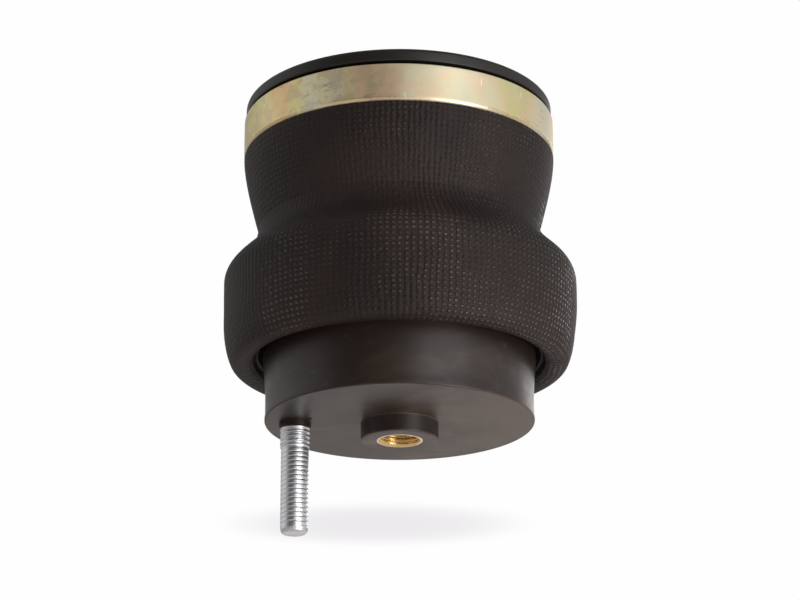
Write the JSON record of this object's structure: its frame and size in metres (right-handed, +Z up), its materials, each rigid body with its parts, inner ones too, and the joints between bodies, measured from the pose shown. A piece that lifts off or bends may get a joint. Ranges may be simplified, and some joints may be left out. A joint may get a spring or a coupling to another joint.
{
  "type": "rolling-lobe air spring",
  "caption": "Sleeve-type air spring with a plastic piston, a rolling rubber lobe, a zinc-plated crimp ring, an off-centre mounting stud and a central air port.",
  "frame": {"origin": "middle of the piston's flat bottom face, on the spring's axis", "axes": "+Z up the spring's axis from the piston to the cover, -X from the axis towards the mounting stud, +Y to complete a right-handed frame; the picture looks along +Y from below"},
  "size_m": [0.095, 0.095, 0.12],
  "materials": {
    "piston_plastic": "fine satin moulded glass-filled polyamide, warm dark grey",
    "cover_plastic": "satin black moulded plastic",
    "sleeve_rubber": "matte, with the imprint of the wrapping cloth",
    "bump_rubber": "matte moulded rubber",
    "ring_zinc": "yellow-passivated zinc plate, iridescent",
    "lower_ring_zinc": "zinc plate",
    "stud_zinc": "bright zinc plate on a rolled thread",
    "port_brass": "turned brass",
    "insert_brass": "turned brass"
  },
  "bodies": {
    "piston_unit": {"piston_body": "piston_plastic", "piston_top": "piston_plastic", "mounting_stud": "stud_zinc", "air_port_insert": "port_brass", "lower_crimp_ring": "lower_ring_zinc", "bump_stop": "bump_rubber"},
    "rolling_lobe": {"bellows_sleeve": "sleeve_rubber"},
    "cover_unit": {"top_cover": "cover_plastic", "top_insert_left": "insert_brass", "top_insert_right": "insert_brass", "upper_crimp_ring": "ring_zinc"}
  },
  "joints": [
    {"name": "suspension_stroke", "type": "slide", "parent": "piston_unit", "child": "cover_unit", "axis": [0, 0, 1], "range_m": [-0.025, 0.035], "stiffness_N_per_m": 12000, "deforming": ["bellows_sleeve"]},
    {"name": "lobe_roll", "type": "slide", "parent": "piston_unit", "child": "rolling_lobe", "axis": [0, 0, 1], "range_m": [-0.0125, 0.0175]}
  ],
  "couplings": [
    {"joint": "lobe_roll", "follows": "suspension_stroke", "ratio": 0.5}
  ]
}
